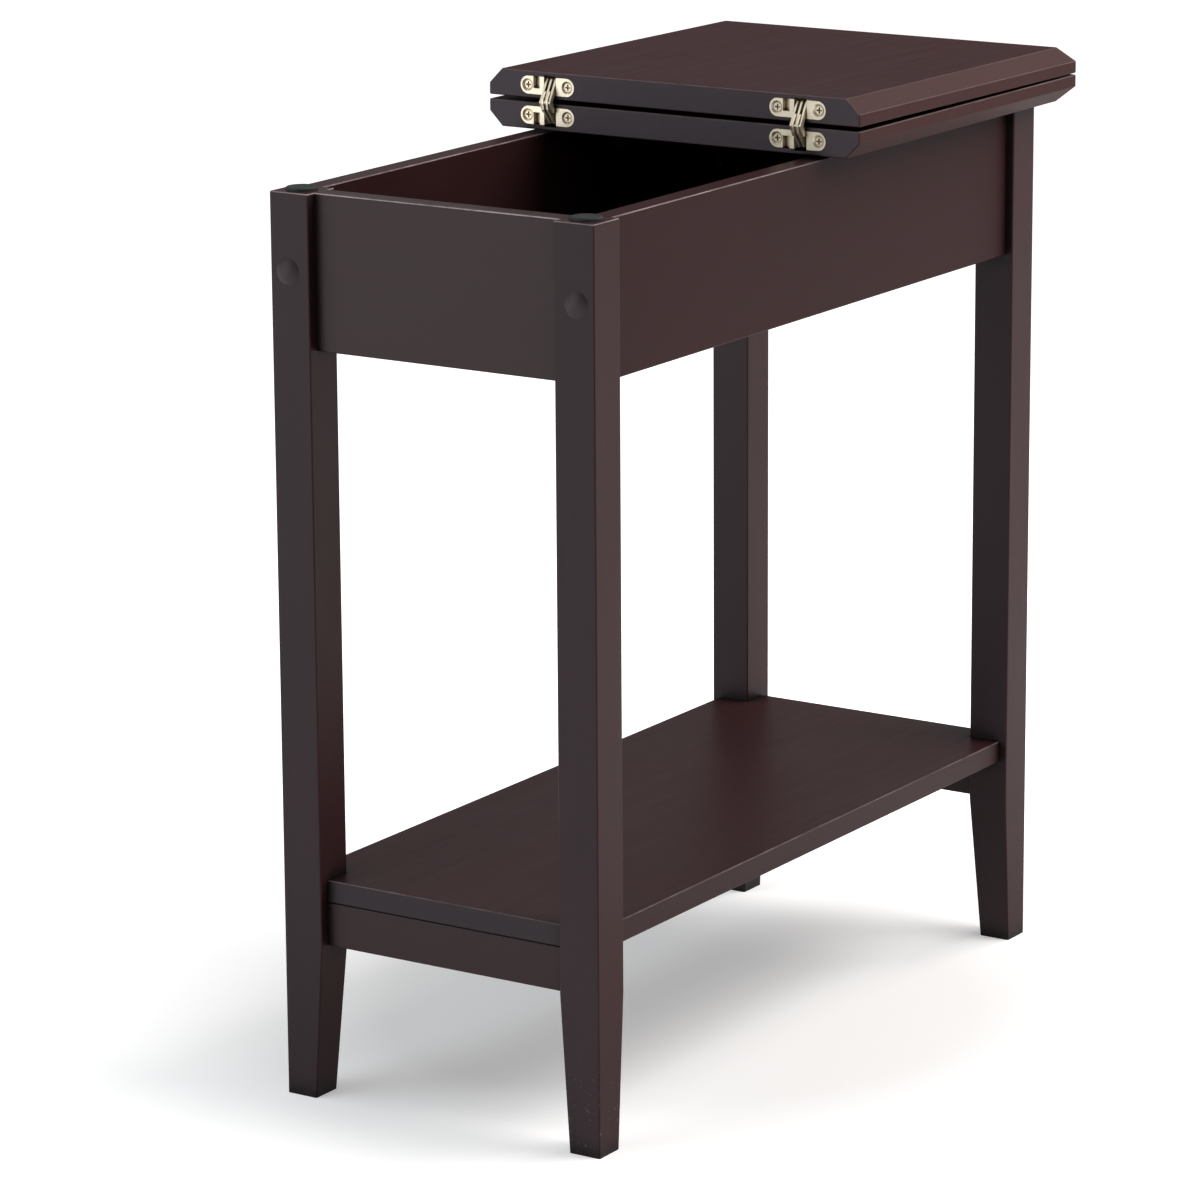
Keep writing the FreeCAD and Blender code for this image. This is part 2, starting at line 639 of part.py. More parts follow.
def make_cup(label, x, side):
    """A hinge cup: a round-ended flange level with the top's edge, and a deep block slotted for the links."""
    cup = new_body(label)
    mid, edge = f"{side} * {CUP_MID}", EDGE_Y
    flange = obround(x, mid, "dims.hinge_length", "dims.hinge_height")
    add(cup, "XZ_Plane", edge, [flange], "dims.flange_depth")
    add(cup, "XZ_Plane", edge, [centred(x, mid, "dims.cup_length", "dims.hinge_height")], "dims.cup_depth")
    outside = "(dims.hinge_height + 2 * dims.cut_overrun)"
    slot = centred(f"{x} + dims.link_offset", mid, SLOT_LENGTH, outside)
    cut(cup, "XZ_Plane", edge, [slot], "dims.cup_depth - dims.cup_back")
    recess_x = f"{x} - dims.recess_offset"
    recess = rectangle(f"{recess_x} - dims.recess_length / 2", f"{side} * ({CUP_FAR} - dims.recess_height)",
                       f"{recess_x} + dims.recess_length / 2", f"{side} * ({CUP_FAR} + dims.cut_overrun)")
    cut(cup, "XZ_Plane", edge, [recess], "dims.recess_depth")
    screws = [(f"{x} + {end} * dims.hinge_screw_pitch / 2", mid) for end in (-1, 1)]
    sunk = "dims.countersink_depth + dims.hinge_screw_head_height"
    cut(cup, "XZ_Plane", edge, [circle(*at, HINGE_SCREW_HOLE) for at in screws], "dims.flange_depth")
    cut(cup, "XZ_Plane", edge, [circle(*at, HINGE_SCREW_WELL) for at in screws], sunk)
    for at in screws:
        bevel_countersink(cup, *at)
    pin = circle(PIVOT_Y, f"{side} * {PIVOT_RISE}", PIN_HOLE)
    cut(cup, "YZ_Plane", pin_start(x), [pin], PIN_LENGTH)
    return node(place_on_axis(cup, side))


def pin_start(x):
    """The left end of the pivot pins of the hinge at x."""
    return f"{x} + dims.link_offset - {PIN_LENGTH} / 2"


def bevel_countersink(cup, x, z):
    """Opens a screw hole's mouth to a cone that leaves a bright ring round the screw's head."""
    cone = cup.newObject("PartDesign::SubtractiveCone", f"{cup.Label}_countersink")
    plane = next(feature for feature in cup.Origin.OriginFeatures if feature.Role == "XZ_Plane")
    cone.AttachmentSupport = [(plane, "")]
    cone.MapMode = "FlatFace"
    cone.setExpression("AttachmentOffset.Base.x", x)
    cone.setExpression("AttachmentOffset.Base.y", z)
    cone.setExpression("AttachmentOffset.Base.z", f"-({EDGE_Y} + dims.countersink_depth)")
    cone.setExpression("Radius1", HINGE_SCREW_WELL)
    cone.setExpression("Radius2", "dims.countersink_radius")
    cone.setExpression("Height", "dims.countersink_depth")
    doc.recompute()


def stack_place(x, layer):
    """The low side of one plate of the link stack, counted from the stack's left end."""
    return f"{x} + dims.link_offset - {STACK_LENGTH} / 2 + {layer} * (dims.link_thickness + dims.link_gap)"


def link_outline(side):
    """The bent outline of a link that is pinned in the cup on its own side and reaches into the other cup."""
    lobe, elbow, tip = "dims.pivot_lobe", "dims.elbow_lobe", "dims.tip_lobe"
    pivot_end = f"({PIVOT_Y} + {lobe})"
    knee_front, knee_back = f"({KNEE_Y} - dims.knee_lobe)", f"({KNEE_Y} + dims.knee_lobe)"
    if side == FIXED:
        knee = [(knee_front, "0")]
    else:
        slot_end = f"(dims.knee_slot_travel + {KNEE_SLOT_HALF})"
        slot_front = f"({KNEE_Y} + dims.knee_slot_drift - {KNEE_SLOT_HALF} - dims.knee_slot_wall)"
        knee = [(knee_front, f"{side} * dims.knee_lobe"), (knee_front, f"{-side} * dims.knee_lobe / 2"),
                (slot_front, f"{-side} * {slot_end}")]
    return polygon(
        (pivot_end, f"{side} * ({PIVOT_RISE} - {lobe})"),
        (pivot_end, f"{side} * ({PIVOT_RISE} + {lobe})"),
        (f"{ELBOW_Y} - {elbow}", f"{side} * ({ELBOW_RISE} + {elbow})"),
        *knee,
        (f"{TIP_Y} - {tip}", f"{-side} * ({TIP_RISE} + {tip})"),
        (f"{TIP_Y} + {tip}", f"{-side} * ({TIP_RISE} + {tip})"),
        (f"{TIP_Y} + {tip}", f"{-side} * ({TIP_RISE} - {tip})"),
        (knee_back, "0"),
        (f"{ELBOW_Y} + {elbow}", f"{side} * ({ELBOW_RISE} - {elbow})"),
    )


def make_link_plate(label, x, layer, side):
    plate = new_body(label)
    at = stack_place(x, layer)
    add(plate, "YZ_Plane", at, [link_outline(side)], "dims.link_thickness")
    round_edges(plate, along("x"), "dims.link_round")
    cut(plate, "YZ_Plane", at, [circle(PIVOT_Y, f"{side} * {PIVOT_RISE}", PIN_HOLE)], "dims.link_thickness")
    if side == FIXED:
        opening = circle(KNEE_Y, "0", PIN_HOLE)
    else:
        half, drift = KNEE_SLOT_HALF, "dims.knee_slot_drift"
        near, far = f"{side} * {half}", f"{-side} * (dims.knee_slot_travel + {half})"
        opening = polygon((f"{KNEE_Y} - {half}", near), (f"{KNEE_Y} + {half}", near),
                          (f"{KNEE_Y} + {drift} + {half}", far), (f"{KNEE_Y} + {drift} - {half}", far))
    cut(plate, "YZ_Plane", at, [opening], "dims.link_thickness")
    return plate


def make_hinge(hand, x):
    """One concealed hinge: two cups, two sets of scissor links, their pins and the cups' screws."""
    for side, half in ((FIXED, "fixed"), (FLIP, "flip")):
        make_cup(f"hinge_cup_{half}_{hand}", x, side)
        links = f"hinge_links_{half}_{hand}"
        plates = [make_link_plate(f"{links}_plate_{layer}", x, layer, side) for layer in LINK_LAYERS[half]]
        place_on_axis(group(links, plates), side)
        pivot = (PIVOT_Y, f"{side} * {PIVOT_RISE}")
        make_pin(f"hinge_pivot_pin_{half}_{hand}", pin_start(x), *pivot, PIN_LENGTH, side)
        screws = []
        for end in (-1, 1):
            screw = wood_screw(f"hinge_screw_{half}_{hand}_{end + 1}", "dims.hinge_screw_radius",
                               "dims.hinge_screw_head_radius", "dims.hinge_screw_head_height",
                               "dims.hinge_screw_length")
            turn(screw, (1, 0, 0), "90")
            place(screw, f"{x} + {end} * dims.hinge_screw_pitch / 2", f"{EDGE_Y} + dims.countersink_depth",
                  f"{side} * {CUP_MID}")
            screws.append(screw)
        place_on_axis(group(f"hinge_screws_{half}_{hand}", screws), side)
    make_pin(f"hinge_cross_pin_{hand}", stack_place(x, 0), KNEE_Y, "0", STACK_LENGTH, FIXED)


def make_pin(label, x, y, z, length, side):
    """A plain pin across a hinge, drawn about the fold axis."""
    pin = new_body(label)
    add(pin, "YZ_Plane", x, [circle(y, z, "dims.pin_radius")], length)
    return node(place_on_axis(pin, side))


def make_pad(label, end_x, end_y):
    """A rubber pad on a leg's top: the rear ones carry the fixed half, the front ones the folding half."""
    pad = new_body(label)
    thickness = "dims.pad_thickness - dims.pad_relief" if end_y < 0 else "dims.pad_thickness"
    add(pad, "XY_Plane", "0", [circle("0", "0", "dims.pad_radius")], thickness)
    round_edges(pad, level("z", thickness), "dims.pad_round")
    x = f"{end_x} * ({SIDE_X} - dims.leg_side / 2)"
    y = f"{CENTRE_Y} + {end_y} * (dims.frame_depth / 2 - dims.leg_side / 2)"
    return node(place(pad, x, y, "dims.leg_height"))


def make_cap(label, end_x, end_y):
    """A domed cap over a leg bolt, with a stem that plugs the counterbore."""
    dome = doc.addObject("Part::Sphere", f"{label}_dome")
    ball = "((dims.cap_radius * dims.cap_radius + dims.cap_height * dims.cap_height) / (2 * dims.cap_height))"
    dome.setExpression("Radius", ball)
    place(dome, "0", "0", f"dims.cap_height - {ball}")
    rim = cylinder(f"{label}_rim", "dims.cap_radius", "dims.cap_height")
    button = doc.addObject("Part::Common", f"{label}_button")
    button.Base, button.Tool = dome, rim
    stem = cylinder(f"{label}_stem", "dims.counterbore_radius - dims.hole_clearance", "dims.cap_stem_length")
    place(stem, "0", "0", "-dims.cap_stem_length")
    cap = doc.addObject("Part::Fuse", label)
    cap.Label = label
    cap.Base, cap.Tool = button, stem
    turn(cap, (-end_y, 0, 0), "90")
    y = f"{CENTRE_Y} + {end_y} * dims.frame_depth / 2"
    return node(place(cap, f"{end_x} * ({SIDE_X} - {BOLT_INSET})", y, APRON_MID_Z))


def make_leg_bolts():
    """The bolts through the legs into the side aprons, and the cross nuts that they pull on."""
    bolts, nuts = [], []
    bolt_x = f"({SIDE_X} - {BOLT_INSET})"
    for end_x in (-1, 1):
        for end_y in (-1, 1):
            name = f"leg_bolt_{end_x + 1}{end_y + 1}"
            bolt = turned(name, [
                ("0", "0"), ("dims.bolt_head_radius", "0"),
                ("dims.bolt_head_radius", "-dims.bolt_head_height"),
                ("dims.bolt_radius", "-dims.bolt_head_height"), ("dims.bolt_radius", "-dims.bolt_length"),
                ("0", "-dims.bolt_length"),
            ])
            socket = circle("0", "0", "dims.bolt_socket_radius")
            cut(bolt, "XY_Plane", "0", [socket], "dims.bolt_socket_depth", -1)
            turn(bolt, (-end_y, 0, 0), "90")
            sunk = "(dims.frame_depth / 2 - dims.counterbore_depth + dims.bolt_head_height)"
            place(bolt, f"{end_x} * {bolt_x}", f"{CENTRE_Y} + {end_y} * {sunk}", APRON_MID_Z)
            bolts.append(bolt)
            nut = new_body(f"cross_nut_{end_x + 1}{end_y + 1}")
            barrel = circle("0", "0", "dims.nut_radius")
            thread = circle("0", "0", "dims.bolt_radius + dims.pin_clearance")
            add(nut, "YZ_Plane", "-dims.nut_length / 2", [barrel], "dims.nut_length")
            cut(nut, "XZ_Plane", "-dims.nut_radius", [thread], "2 * dims.nut_radius")
            nut_y = f"({LEG_INNER_REACH} - dims.nut_inset)"
            place(nut, f"{end_x} * {bolt_x}", f"{CENTRE_Y} + {end_y} * {nut_y}", APRON_MID_Z)
            nuts.append(nut)
    group("leg_bolts", bolts)
    group("cross_nuts", nuts)


def make_dowels(label, mid_z, pitch, thickness):
    dowels = []
    y_reach = f"(dims.frame_depth / 2 - dims.front_setback - {thickness} / 2)"
    for end_x in (-1, 1):
        for end_y in (-1, 1):
            for step in (-1, 1):
                dowel = cylinder(f"{label}_{len(dowels)}", "dims.dowel_radius", "dims.dowel_length")
                turn(dowel, (0, 1, 0), "90")
                place(dowel, f"{end_x} * {INNER_X} - dims.dowel_length / 2",
                      f"{CENTRE_Y} + {end_y} * {y_reach}", f"{mid_z} + {step} * {pitch} / 2")
                dowels.append(dowel)
    group(label, dowels)


def make_frame_screws():
    """The screws that hold the shelf to its rails, the cleats to the aprons and the top to the cleats."""
    shared = ("dims.screw_radius", "dims.screw_head_radius", "dims.screw_head_height")
    shelf_screws, cleat_screws, top_screws = [], [], []
    rail_mid = "(dims.frame_depth / 2 - dims.front_setback - dims.rail_thickness / 2)"
    cleat_x = f"({SIDE_INNER_X} - dims.cleat_width / 2)"
    for end_x in (-1, 1):
        for end_y in (-1, 1):
            screw = wood_screw(f"shelf_screw_{len(shelf_screws)}", *shared,
                               "dims.rail_height - dims.screw_well_depth + dims.screw_bite")
            turn(screw, (1, 0, 0), "180")
            place(screw, f"{end_x} * dims.shelf_screw_pitch / 2", f"{CENTRE_Y} + {end_y} * {rail_mid}",
                  f"{RAIL_LOW_Z} + dims.screw_well_depth - dims.screw_head_height")
            shelf_screws.append(screw)
        for y in cleat_screw_places(0):
            screw = wood_screw(f"top_screw_{len(top_screws)}", *shared, "dims.cleat_height + dims.screw_bite")
            turn(screw, (1, 0, 0), "180")
            place(screw, f"{end_x} * {cleat_x}", f"{CENTRE_Y} + {y}", CLEAT_LOW_Z)
            top_screws.append(screw)
        for y in cleat_screw_places(1):
            screw = wood_screw(f"cleat_screw_{len(cleat_screws)}", *shared,
                               "dims.cleat_width + dims.screw_bite")
            turn(screw, (0, -end_x, 0), "90")
            place(screw, f"{end_x} * ({SIDE_INNER_X} - dims.cleat_width)", f"{CENTRE_Y} + {y}",
                  f"{CLEAT_LOW_Z} + dims.cleat_height / 2")
            cleat_screws.append(screw)
    group("shelf_screws", shelf_screws)
    group("cleat_screws", cleat_screws)
    group("top_screws", top_screws)


def check_document():
    """Stops if any object failed to build or any node has no valid shape."""
    doc.recompute()
    for item in doc.Objects:
        if {"Invalid", "Error"} & set(item.State):
            raise RuntimeError(f"{item.Name} failed: {item.State}")
    for piece in nodes:
        if piece.Shape.isNull() or not piece.Shape.isValid():
            raise RuntimeError(f"{piece.Label} has no valid shape")


for end_name, end_y in (("front", -1), ("back", 1)):
    for hand_name, end_x in (("left", -1), ("right", 1)):
        make_leg(f"leg_{end_name}_{hand_name}", -end_x, -end_y)
        make_pad(f"top_pad_{end_name}_{hand_name}", end_x, end_y)
        make_cap(f"bolt_cap_{end_name}_{hand_name}", end_x, end_y)
    make_end_apron(f"apron_{end_name}", -end_y)
    make_rail(f"shelf_rail_{end_name}", -end_y)
for hand_name, end_x in (("left", -1), ("right", 1)):
    make_side_apron(f"apron_{hand_name}", -end_x)
    make_cleat(f"top_cleat_{hand_name}", -end_x)
    make_hinge(hand_name, f"{end_x} * {HINGE_X}")
make_storage_floor()
make_shelf()
make_top("fixed_top", FIXED)
make_top("flip_top", FLIP)
make_leg_bolts()
make_dowels("apron_dowels", APRON_MID_Z, "dims.apron_dowel_pitch", "dims.apron_thickness")
make_dowels("rail_dowels", RAIL_MID_Z, "dims.rail_dowel_pitch", "dims.rail_thickness")
make_frame_screws()
check_document()

os.makedirs("parts", exist_ok=True)
for piece in nodes:
    piece.Shape.exportStep(f"parts/{piece.Label}.step")
print(len(nodes), "nodes written")
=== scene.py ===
"""The looks of the fold-over end table: satin espresso paint, pale gilt hinges and rubber pads.

Every CAD node keeps its shape and gets a procedural material. The scene itself adds only the
camera, the floor, the world and the lamps of a white studio.
"""
import math

import bpy
from mathutils import Matrix, Vector

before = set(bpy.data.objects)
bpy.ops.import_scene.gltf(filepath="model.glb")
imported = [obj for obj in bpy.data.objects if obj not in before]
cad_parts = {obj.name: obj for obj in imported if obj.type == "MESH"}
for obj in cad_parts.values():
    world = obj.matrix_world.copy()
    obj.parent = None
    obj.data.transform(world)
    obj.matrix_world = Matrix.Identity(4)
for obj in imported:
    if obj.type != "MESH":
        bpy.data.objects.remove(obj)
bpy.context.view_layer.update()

X, Y, Z = 0, 1, 2
UP, DOWN = 1, -1
WHITE = (1, 1, 1, 1)

# Colours, in linear light
ESPRESSO_DARK = (0.0335, 0.0128, 0.0138, 1)
ESPRESSO_LIGHT = (0.0385, 0.0150, 0.0160, 1)
# Rubbed paint with a painted highlight, for the upper rounded edges
EDGE_WEAR_AND_HIGHLIGHT = (0.46, 0.38, 0.38, 1)
# Painted light: paler, greyer and cooler tones for the faces that look to the front or back
LEG_END_PAINTED_LIGHT = (0.0380, 0.0250, 0.0280, 1)
SHELF_END_PAINTED_LIGHT = (0.0400, 0.0300, 0.0340, 1)
TOP_END_PAINTED_LIGHT = (0.0870, 0.0710, 0.0800, 1)
# Painted light: a paler tone for the tops' upright and bevelled faces
TOP_SIDE_PAINTED_LIGHT = (0.0585, 0.0280, 0.0275, 1)
# Painted shade in inner corners, joints and slots
PAINTED_CORNER_SHADE = (0.0060, 0.0040, 0.0040, 1)
PAINT_CHIP = (0.62, 0.58, 0.54, 1)
GILT = (0.74, 0.66, 0.52, 1)
GILT_DULL = (0.42, 0.29, 0.15, 1)
# Painted shade in the hinges' slots and screw recesses
GILT_PAINTED_SHADE = (0.190, 0.115, 0.050, 1)
RUBBER_DARK = (0.009, 0.012, 0.0115, 1)
RUBBER_LIGHT = (0.018, 0.022, 0.021, 1)
ZINC = (0.62, 0.63, 0.64, 1)
ZINC_DULL = (0.45, 0.45, 0.45, 1)
BIRCH_DARK = (0.48, 0.33, 0.19, 1)
BIRCH_LIGHT = (0.62, 0.47, 0.30, 1)

# The spans over which a mask grows from none to full
EDGE_DOT = (0.99, 0.80)
CORNER_SKY = (0.90, 0.52)
ROUND_START = (0.15, 0.45)
ROUND_END = (0.97, 0.85)
BEVEL_AWAY = (0.01, 0.05)
SIDE_RISE = (0.95, 0.85)
END_TURN = (0.90, 0.98)
END_FADE = 0.01
BEVEL_RISE = math.sqrt(0.5)
MASK_SAMPLES = 6

# Paint: noise scales per metre, lengths in metres
GRAIN_SCALE, GRAIN_STRETCH, GRAIN_DETAIL, GRAIN_ROUGHNESS = 160, 0.05, 5, 0.6
CLOUD_SCALE, CLOUD_DETAIL = 7, 3
GRAIN_IN_TONE = 0.35
TONE_SPAN = (0.36, 0.64)
TONE_SPREAD = 0.07
# How far the painted shade in corners reaches
CORNER_SHADE_REACH = 0.016
LINE_SCALE, LINE_ROUGHNESS, LINE_SPAN, LINE_LEAST = 45, 0.65, (0.36, 0.62), 0.45
SPECK_SCALE, SPECK_SPAN, SPECK_SHARE, SPECK_DETAIL = 520, (0.66, 0.70), 0.7, 2
RARE_SCALE, RARE_SPAN = 9, (0.58, 0.66)
CHIP_EDGE = 0.0015
SCUFF_TOP = 0.09
SHEEN_SPAN, SHEEN_SPREAD = (0.7, 1.3), 0.04
PEEL_SCALE, GRAIN_IN_RELIEF = 900, 0.6
PAINT_RELIEF = (0.05, 0.0004)

# Metal: noise scales per metre, lengths in metres
BRUSH_SCALE, BRUSH_DETAIL = 2600, 3
PATINA_SCALE, PATINA_SPAN, PATINA_SHARE = 160, (0.35, 0.75), 0.30
GRIME_EDGE, GRIME_SHARE = 0.0005, 0.7
METAL_NOISE = 0.6
# How far the painted shade in the metal's slots reaches
SLOT_SHADE_REACH = 0.0022
PLATED = 0.75
METAL_RELIEF = (0.08, 0.0001)

# The middle stretch of a noise, which most of its values lie in
NOISE_SPAN = (0.3, 0.7)
NOISE_MIDDLE = (0.35, 0.65)


def shade(colour, share):
    """A colour at a share of its strength."""
    return tuple(part * share for part in colour[:3]) + (1,)


class Nodes:
    """A node tree, with short ways to add to it."""

    def __init__(self, tree):
        self.tree = tree

    def add(self, kind, values=None, **settings):
        node = self.tree.nodes.new(f"ShaderNode{kind}")
        for key, setting in settings.items():
            setattr(node, key, setting)
        for key, value in (values or {}).items():
            self.feed(node.inputs[key], value)
        return node

    def feed(self, socket, value):
        """Links a socket to another one, or sets it to a constant."""
        if isinstance(value, bpy.types.NodeSocket):
            self.tree.links.new(value, socket)
        else:
            socket.default_value = value

    def math(self, operation, *values):
        return self.add("Math", dict(enumerate(values)), operation=operation).outputs[0]

    def part(self, vector, axis):
        return self.add("SeparateXYZ", {"Vector": vector}).outputs[axis]

    def ramp(self, value, low, high, to_low=0.0, to_high=1.0):
        values = {"Value": value, "From Min": low, "From Max": high,
                  "To Min": to_low, "To Max": to_high}
        return self.add("MapRange", values).outputs["Result"]

    def backdrop_ray(self):
        """One on rays that show the backdrop: from the camera, or a glossy or clear surface."""
        path = self.add("LightPath").outputs
        seen = self.math("MAXIMUM", path["Is Camera Ray"], path["Is Glossy Ray"])
        return self.math("MAXIMUM", seen, path["Is Transmission Ray"])


class Shader(Nodes):
    """One material's nodes, with the principled shader at their end."""

    def __init__(self, name):
        self.material = bpy.data.materials.new(name)
        self.material.use_nodes = True
        super().__init__(self.material.node_tree)
        self.principled = self.tree.nodes["Principled BSDF"]
        coordinates = self.add("TexCoord").outputs
        self.place, self.normal = coordinates["Object"], coordinates["Normal"]

    def set(self, **values):
        """Feeds the shader's own sockets, named with _ for each space."""
        for key, value in values.items():
            self.feed(self.principled.inputs[key.replace("_", " ")], value)

    def noise(self, scale, stretch=(1, 1, 1), detail=4, roughness=0.5):
        mapping = self.add("Mapping", {"Vector": self.place, "Scale": stretch})
        values = {"Vector": mapping.outputs["Vector"], "Scale": scale, "Detail": detail,
                  "Roughness": roughness}
        return self.add("TexNoise", values).outputs["Fac"]

    def mix(self, factor, first, second):
        values = {0: factor, 6: first, 7: second}
        return self.add("Mix", values, data_type="RGBA").outputs[2]

    def average(self, first, second, share):
        """The first value at its share, and the second at the rest."""
        first = self.math("MULTIPLY", first, share)
        return self.math("ADD", first, self.math("MULTIPLY", second, 1 - share))

    def varied(self, tone, colour):
        """A colour that varies a little with a tone."""
        return self.mix(tone, shade(colour, 1 - TONE_SPREAD), shade(colour, 1 + TONE_SPREAD))

    def bump(self, height, strength, distance):
        values = {"Height": height, "Strength": strength, "Distance": distance}
        self.set(Normal=self.add("Bump", values).outputs["Normal"])

    def edge(self, radius):
        """One at an outer or inner edge of the shape, and zero on its faces."""
        rounded = self.add("Bevel", {"Radius": radius}, samples=MASK_SAMPLES).outputs["Normal"]
        plain = self.add("NewGeometry").outputs["Normal"]
        dot = self.add("VectorMath", {0: rounded, 1: plain}, operation="DOT_PRODUCT")
        return self.ramp(dot.outputs["Value"], *EDGE_DOT)

    def corner(self, reach):
        """One in inner corners, joints and slots, where ambient occlusion finds shade, and zero on
        open faces; it places painted shade.
        """
        sky = self.add("AmbientOcclusion", {"Distance": reach}, samples=MASK_SAMPLES)
        return self.ramp(sky.outputs["AO"], *CORNER_SKY)

    def rounded_edge(self, way):
        """One on the rounded edges that face UP or DOWN, and zero on flat and bevelled faces."""
        rise = self.math("MULTIPLY", self.part(self.normal, Z), way)
        turned = self.math("MINIMUM", self.ramp(rise, *ROUND_START), self.ramp(rise, *ROUND_END))
        bevel = self.math("ABSOLUTE", self.math("SUBTRACT", rise, BEVEL_RISE))
        return self.math("MINIMUM", turned, self.ramp(bevel, *BEVEL_AWAY))

    def side_face(self):
        """One on upright and bevelled faces, and zero on level ones."""
        return self.ramp(self.math("ABSOLUTE", self.part(self.normal, Z)), *SIDE_RISE)

    def end_face(self, reach):
        """One on faces that look to the front or back and lie no farther back than a reach."""
        turned = self.ramp(self.math("ABSOLUTE", self.part(self.normal, Y)), *END_TURN)
        near = self.ramp(self.part(self.place, Y), reach + END_FADE, reach)
        return self.math("MULTIPLY", turned, near)


def paint_chips(shader, scuffs):
    """The share of bare chips: rare ones along the edges, and with scuffs, more near the feet."""
    speck = shader.noise(SPECK_SCALE, detail=SPECK_DETAIL)
    rare = shader.ramp(shader.noise(RARE_SCALE, detail=SPECK_DETAIL), *RARE_SPAN)
    chipped = shader.math("MULTIPLY", shader.edge(CHIP_EDGE), rare)
    if scuffs:
        low = shader.ramp(shader.part(shader.place, Z), SCUFF_TOP, 0.0, 0.0, scuffs)
        chipped = shader.math("MAXIMUM", chipped, shader.math("MULTIPLY", low, rare))
    chips = shader.math("MULTIPLY", shader.ramp(speck, *SPECK_SPAN), chipped)
    return shader.math("MULTIPLY", chips, SPECK_SHARE)


def espresso(name, along, gloss, depth, line, end=None, reach=1.0, side=None, upper_edge_tone=EDGE_WEAR_AND_HIGHLIGHT,
             joint=False, scuffs=0.0, roughness=0.42):
    """Dark brown satin paint on wood, with faint grain along one axis, and painted shade in its
    corners.

    gloss is the specular level, and depth the strength of the colour. The upper edges take a share
    of upper_edge_tone, which is the line: rubbed paint with a painted highlight, or painted shade.
    end colours the faces that look along the table, as far back as the reach, with painted light,
    and side those that aren't level, with painted light too. joint lays painted shade along the
    lower edges.
    """
    shader = Shader(name)
    stretch = [1.0, 1.0, 1.0]
    stretch[along] = GRAIN_STRETCH
    grain = shader.noise(GRAIN_SCALE, stretch, GRAIN_DETAIL, GRAIN_ROUGHNESS)
    cloud = shader.noise(CLOUD_SCALE, detail=CLOUD_DETAIL)
    tone = shader.ramp(shader.average(grain, cloud, GRAIN_IN_TONE), *TONE_SPAN)
    colour = shader.mix(tone, shade(ESPRESSO_DARK, depth), shade(ESPRESSO_LIGHT, depth))
    # Painted light: a paler tone on upright and bevelled faces
    if side:
        colour = shader.mix(shader.side_face(), colour, shader.varied(tone, side))
    # Painted light: a greyer, cooler tone on faces that look to the front or back
    if end:
        colour = shader.mix(shader.end_face(reach), colour, shader.varied(tone, end))
    # Painted shade in inner corners and joints
    colour = shader.mix(shader.corner(CORNER_SHADE_REACH), colour, PAINTED_CORNER_SHADE)
    # The upper rounded edges: a patchy pale line of rubbed paint with a painted highlight, or
    # painted shade on the rails
    edge_line_patches = shader.noise(LINE_SCALE, roughness=LINE_ROUGHNESS)
    patchy = shader.ramp(edge_line_patches, *LINE_SPAN, LINE_LEAST * line, line)
    upper = shader.math("MULTIPLY", shader.rounded_edge(UP), patchy)
    colour = shader.mix(upper, colour, upper_edge_tone)
    # Painted shade along the lower rounded edges, where the shelf meets its rails
    if joint:
        colour = shader.mix(shader.rounded_edge(DOWN), colour, PAINTED_CORNER_SHADE)
    colour = shader.mix(paint_chips(shader, scuffs), colour, PAINT_CHIP)
    uneven = shader.math("ADD", grain, cloud)
    dullness = shader.ramp(uneven, *SHEEN_SPAN, roughness - SHEEN_SPREAD, roughness + SHEEN_SPREAD)
    shader.set(Base_Color=colour, Specular_IOR_Level=gloss, Roughness=dullness)
    peel = shader.noise(PEEL_SCALE, detail=2)
    shader.bump(shader.average(grain, peel, GRAIN_IN_RELIEF), *PAINT_RELIEF)
    return shader.material


def metal(name, bright, dull, slot_shade, roughness, brushed):
    """Plated metal with fine brush lines, duller patches and edges, and painted shade in its slots
    and screw recesses.
    """
    shader = Shader(name)
    lines = shader.noise(BRUSH_SCALE, brushed, BRUSH_DETAIL, METAL_NOISE)
    patina = shader.ramp(shader.noise(PATINA_SCALE, roughness=METAL_NOISE), *PATINA_SPAN,
                         0.0, PATINA_SHARE)
    grime = shader.math("MULTIPLY", shader.edge(GRIME_EDGE), GRIME_SHARE)
    colour = shader.mix(shader.math("ADD", patina, grime), bright, dull)
    # Painted shade in slots and screw recesses
    colour = shader.mix(shader.corner(SLOT_SHADE_REACH), colour, slot_shade)
    dullness = shader.ramp(lines, *NOISE_SPAN, roughness - 0.06, roughness + 0.08)
    shader.set(Base_Color=colour, Metallic=PLATED, Roughness=dullness)
    shader.bump(lines, *METAL_RELIEF)
    return shader.material


def rubber():
    """Matt dark rubber with a fine grit."""
    shader = Shader("pad_rubber")
    grit = shader.noise(1400, roughness=0.7)
    cloud = shader.ramp(shader.noise(120, detail=3), *NOISE_MIDDLE)
    shader.set(Base_Color=shader.mix(cloud, RUBBER_DARK, RUBBER_LIGHT), Specular_IOR_Level=0.4,
               Roughness=shader.ramp(grit, *NOISE_SPAN, 0.55, 0.75))
    shader.bump(grit, strength=0.15, distance=0.0003)
    return shader.material


def cap_plastic():
    """Satin plastic in the painted-light tone of the legs' front faces, with painted shade where it
    meets the leg.
    """
    shader = Shader("cap_plastic")
    grain = shader.noise(1800, detail=3, roughness=0.6)
    cloud = shader.ramp(shader.noise(60, detail=3), *NOISE_MIDDLE)
    # The legs' painted-light front tone, and painted shade at the rim where the cap meets the leg
    colour = shader.mix(cloud, shade(LEG_END_PAINTED_LIGHT, 0.88), shade(LEG_END_PAINTED_LIGHT, 1.02))
    colour = shader.mix(shader.corner(reach=0.004), colour, PAINTED_CORNER_SHADE)
    shader.set(Base_Color=colour, Specular_IOR_Level=0.2,
               Roughness=shader.ramp(grain, *NOISE_SPAN, 0.42, 0.55))
    shader.bump(grain, strength=0.06, distance=0.0002)
    return shader.material


